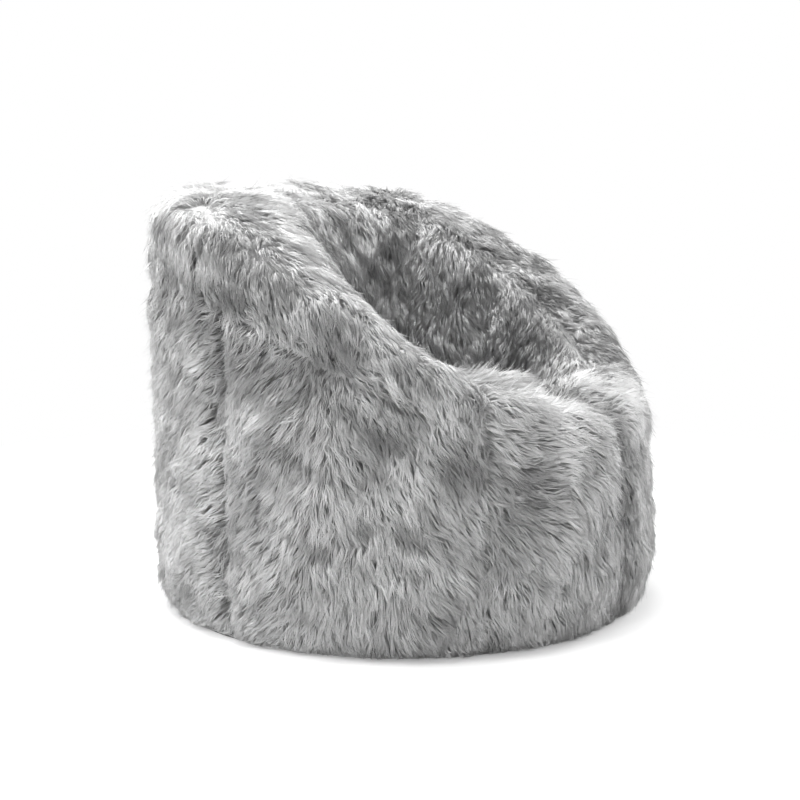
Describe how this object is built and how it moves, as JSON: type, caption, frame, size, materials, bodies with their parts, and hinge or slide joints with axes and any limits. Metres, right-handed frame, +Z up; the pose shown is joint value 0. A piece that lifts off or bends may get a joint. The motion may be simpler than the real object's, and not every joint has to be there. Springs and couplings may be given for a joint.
{
  "type": "bean bag armchair",
  "caption": "Tub-shaped bean bag armchair in long-wool grey sheepskin, with a high rounded back, falling arms, a scooped seat and a zip under the base.",
  "frame": {"origin": "middle of the base, on the floor", "axes": "+Z up, -Y the chair's front, -X the sitter's right"},
  "size_m": [0.8204, 0.8206, 0.6794],
  "materials": {
    "sheepskin": "long wool pile, matte",
    "base_cloth": "woven canvas",
    "liner_cloth": "plain woven liner",
    "beads": "foam beads",
    "zip_tape": "woven tape",
    "zip_metal": "nickel",
    "liner_zip_plastic": "moulded",
    "liner_zip_metal": "nickel"
  },
  "bodies": {
    "bag": {"back_panel_left": "sheepskin", "back_panel_right": "sheepskin", "base_front_panel": "base_cloth", "base_rear_panel": "base_cloth", "bead_fill": "beads", "front_panel_left": "sheepskin", "front_panel_right": "sheepskin", "inner_arm_panel_left": "sheepskin", "inner_arm_panel_right": "sheepskin", "inner_back_panel": "sheepskin", "inner_side_panel_left": "sheepskin", "inner_side_panel_right": "sheepskin", "liner_base_panel": "liner_cloth", "liner_panel_left": "liner_cloth", "liner_panel_right": "liner_cloth", "liner_seat_panel": "liner_cloth", "liner_zip_stops": "liner_zip_plastic", "liner_zip_tape_front": "zip_tape", "liner_zip_tape_rear": "zip_tape", "liner_zip_teeth_front": "liner_zip_plastic", "liner_zip_teeth_rear": "liner_zip_plastic", "rim_panel_left": "sheepskin", "rim_panel_right": "sheepskin", "seat_panel": "sheepskin", "side_panel_left": "sheepskin", "side_panel_right": "sheepskin", "zip_stops": "zip_metal", "zip_tape_front": "zip_tape", "zip_tape_rear": "zip_tape", "zip_teeth_front": "zip_metal", "zip_teeth_rear": "zip_metal"},
    "zip_slider": {"zip_slider": "zip_metal"},
    "zip_pull": {"zip_pull": "zip_metal"},
    "liner_zip_slider": {"liner_zip_slider": "liner_zip_metal"}
  },
  "joints": [
    {"name": "zip_slide", "type": "slide", "parent": "bag", "child": "zip_slider", "axis": [-1, 0, 0], "range_m": [0, 0.378]},
    {"name": "pull_hinge", "type": "hinge", "parent": "zip_slider", "child": "zip_pull", "pos_m": [0.189, 0.11, 0.00205], "axis": [0, -1, 0], "range_deg": [0, 180]},
    {"name": "liner_zip_slide", "type": "slide", "parent": "bag", "child": "liner_zip_slider", "axis": [-1, 0, 0], "range_m": [0, 0.278]}
  ]
}
